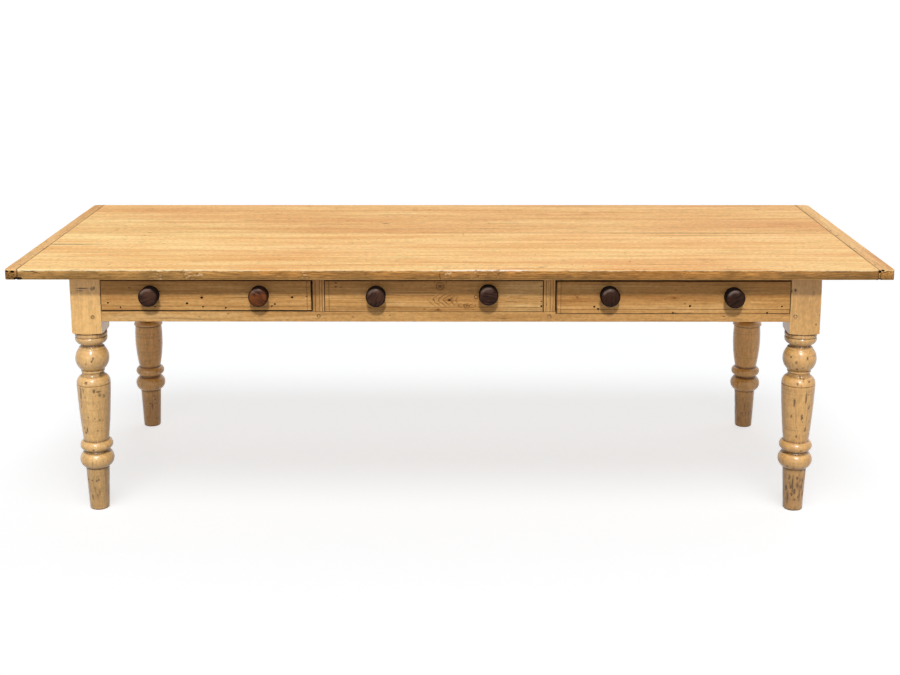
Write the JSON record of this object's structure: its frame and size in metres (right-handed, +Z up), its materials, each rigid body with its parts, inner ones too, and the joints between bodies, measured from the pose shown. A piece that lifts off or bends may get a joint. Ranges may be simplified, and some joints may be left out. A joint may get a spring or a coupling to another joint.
{
  "type": "farmhouse table",
  "caption": "Long pine farmhouse table with a planked top, clamp boards across its ends, turned legs and a row of knobbed drawers along one side.",
  "frame": {"origin": "on the floor, under the middle of the table top", "axes": "+X along the table to the right as seen from the drawer side, +Y from the drawer side to the back, +Z up"},
  "size_m": [2.54, 1.02, 0.762],
  "materials": {
    "top_pine": "old waxed pine, satin, worn",
    "leg_pine": "old waxed pine, satin",
    "front_pine": "old waxed pine, satin, scratched and dented",
    "frame_pine": "old waxed pine, satin",
    "raw_pine": "bare planed pine, matt",
    "peg_wood": "dark oak end grain, matt",
    "knob_mahogany": "polished dark mahogany, gloss",
    "iron": "dark rusted iron, matt"
  },
  "bodies": {
    "frame": {"top_front_plank": "top_pine", "top_rear_plank": "top_pine", "clamp_left": "top_pine", "clamp_right": "top_pine", "clamp_nails": "iron", "leg_front_left": "leg_pine", "leg_rear_left": "leg_pine", "leg_front_right": "leg_pine", "leg_rear_right": "leg_pine", "front_lower_rail": "frame_pine", "front_top_rail": "frame_pine", "divider_left": "frame_pine", "divider_right": "frame_pine", "rear_apron": "frame_pine", "end_apron_left": "frame_pine", "end_apron_right": "frame_pine", "frame_pegs": "peg_wood", "runner_left_end": "raw_pine", "guide_left_end": "raw_pine", "kicker_left_end": "raw_pine", "runner_left_middle": "raw_pine", "guide_left_middle": "raw_pine", "kicker_left_middle": "raw_pine", "runner_right_middle": "raw_pine", "guide_right_middle": "raw_pine", "kicker_right_middle": "raw_pine", "runner_right_end": "raw_pine", "guide_right_end": "raw_pine", "kicker_right_end": "raw_pine", "drawer_stops": "raw_pine", "glue_blocks": "raw_pine", "top_screws": "iron"},
    "drawer_left": {"left_drawer_front": "front_pine", "left_drawer_side_left": "raw_pine", "left_drawer_side_right": "raw_pine", "left_drawer_back": "raw_pine", "left_drawer_bottom": "raw_pine", "left_drawer_nails": "iron", "left_knob_a": "knob_mahogany", "left_knob_b": "knob_mahogany"},
    "drawer_middle": {"middle_drawer_front": "front_pine", "middle_drawer_side_left": "raw_pine", "middle_drawer_side_right": "raw_pine", "middle_drawer_back": "raw_pine", "middle_drawer_bottom": "raw_pine", "middle_drawer_nails": "iron", "middle_knob_a": "knob_mahogany", "middle_knob_b": "knob_mahogany"},
    "drawer_right": {"right_drawer_front": "front_pine", "right_drawer_side_left": "raw_pine", "right_drawer_side_right": "raw_pine", "right_drawer_back": "raw_pine", "right_drawer_bottom": "raw_pine", "right_drawer_nails": "iron", "right_knob_a": "knob_mahogany", "right_knob_b": "knob_mahogany"}
  },
  "joints": [
    {"name": "slide_drawer_left", "type": "slide", "parent": "frame", "child": "drawer_left", "axis": [0, -1, 0], "range_m": [0, 0.4]},
    {"name": "slide_drawer_middle", "type": "slide", "parent": "frame", "child": "drawer_middle", "axis": [0, -1, 0], "range_m": [0, 0.4]},
    {"name": "slide_drawer_right", "type": "slide", "parent": "frame", "child": "drawer_right", "axis": [0, -1, 0], "range_m": [0, 0.4]}
  ]
}
